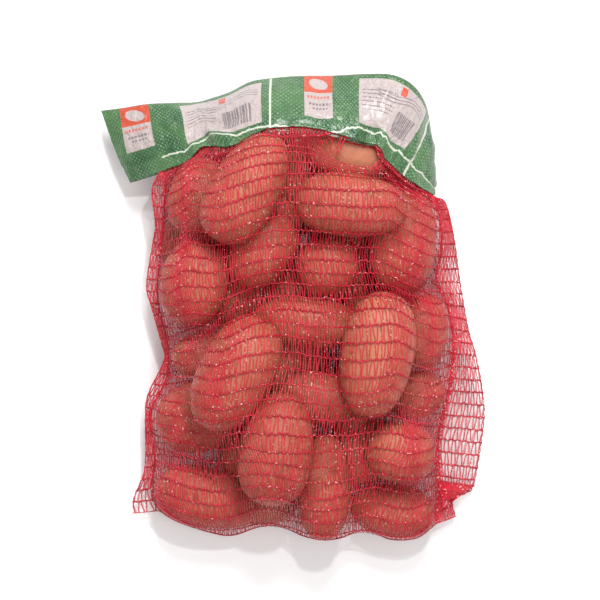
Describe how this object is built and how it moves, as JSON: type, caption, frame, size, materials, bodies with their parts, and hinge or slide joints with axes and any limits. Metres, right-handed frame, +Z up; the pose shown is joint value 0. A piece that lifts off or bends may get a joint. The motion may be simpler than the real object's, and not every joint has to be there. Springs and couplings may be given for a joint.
{
  "type": "net of potatoes",
  "caption": "Knitted net bag filled with potatoes, lying flat, its mouth clipped in a folded green printed film header, with empty see-through selvedges",
  "frame": {"origin": "middle of the outline seen from above, on the surface that the bag lies on", "axes": "+Z up, out of the shown side; +Y towards the header at the bag's mouth, along its length; +X across it, to the right as seen"},
  "size_m": [0.3285, 0.3966, 0.127],
  "materials": {
    "net": "red knitted plastic net stretched over pink-brown potatoes",
    "film": "glossy crinkled green film with pale printed panels"
  },
  "bodies": {
    "root": {"potato_net": "net", "header_band": "film"}
  },
  "joints": []
}
